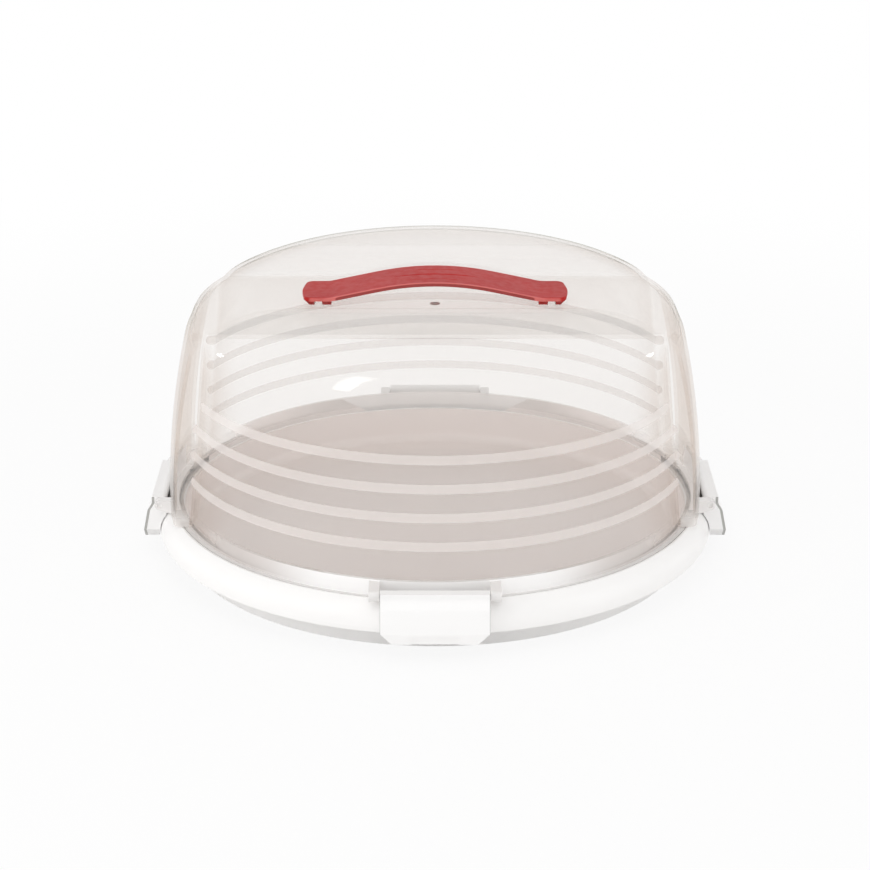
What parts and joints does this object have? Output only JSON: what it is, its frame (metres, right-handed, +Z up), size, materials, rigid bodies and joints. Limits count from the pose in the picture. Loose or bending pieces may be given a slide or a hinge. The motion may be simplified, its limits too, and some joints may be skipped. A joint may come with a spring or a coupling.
{
  "type": "cake carrier",
  "caption": "Round cake carrier with a shallow tray, a clear domed lid held by clip latches around its rim, and an arched carrying handle in a valley on top.",
  "frame": {"origin": "centre of the tray's foot ring, on the surface that the carrier stands on", "axes": "+Z up; -Y is the front; X runs along the handle and the broad band that carries it"},
  "size_m": [0.3552, 0.3552, 0.1723],
  "materials": {
    "tray_white": "gloss",
    "lid_clear": "clear gloss with frosted stripes",
    "latch_white": "gloss",
    "handle_red": "satin",
    "pin_clear": "clear gloss"
  },
  "bodies": {
    "tray": {"base_tray": "tray_white"},
    "lid": {"dome_lid": "lid_clear", "latch_pin_right": "pin_clear", "latch_pin_back": "pin_clear", "latch_pin_left": "pin_clear", "latch_pin_front": "pin_clear", "handle_pin_right": "pin_clear", "handle_pin_left": "pin_clear"},
    "latch_right": {"latch_right": "latch_white"},
    "latch_back": {"latch_back": "latch_white"},
    "latch_left": {"latch_left": "latch_white"},
    "latch_front": {"latch_front": "latch_white"},
    "handle": {"carry_handle": "handle_red"}
  },
  "joints": [
    {"name": "lid_lift", "type": "slide", "parent": "tray", "child": "lid", "axis": [0, 0, 1], "range_m": [0, 0.16]},
    {"name": "latch_right_hinge", "type": "hinge", "parent": "lid", "child": "latch_right", "pos_m": [0.1666, 0, 0.0369], "axis": [0, -1, 0], "range_deg": [0, 90]},
    {"name": "latch_back_hinge", "type": "hinge", "parent": "lid", "child": "latch_back", "pos_m": [0, 0.1666, 0.0369], "axis": [1, 0, 0], "range_deg": [0, 90]},
    {"name": "latch_left_hinge", "type": "hinge", "parent": "lid", "child": "latch_left", "pos_m": [-0.1666, 0, 0.0369], "axis": [0, 1, 0], "range_deg": [0, 90]},
    {"name": "latch_front_hinge", "type": "hinge", "parent": "lid", "child": "latch_front", "pos_m": [0, -0.1666, 0.0369], "axis": [-1, 0, 0], "range_deg": [0, 90]},
    {"name": "handle_rock", "type": "hinge", "parent": "lid", "child": "handle", "pos_m": [0, 0, 0.157], "axis": [1, 0, 0], "range_deg": [-10, 10]}
  ]
}
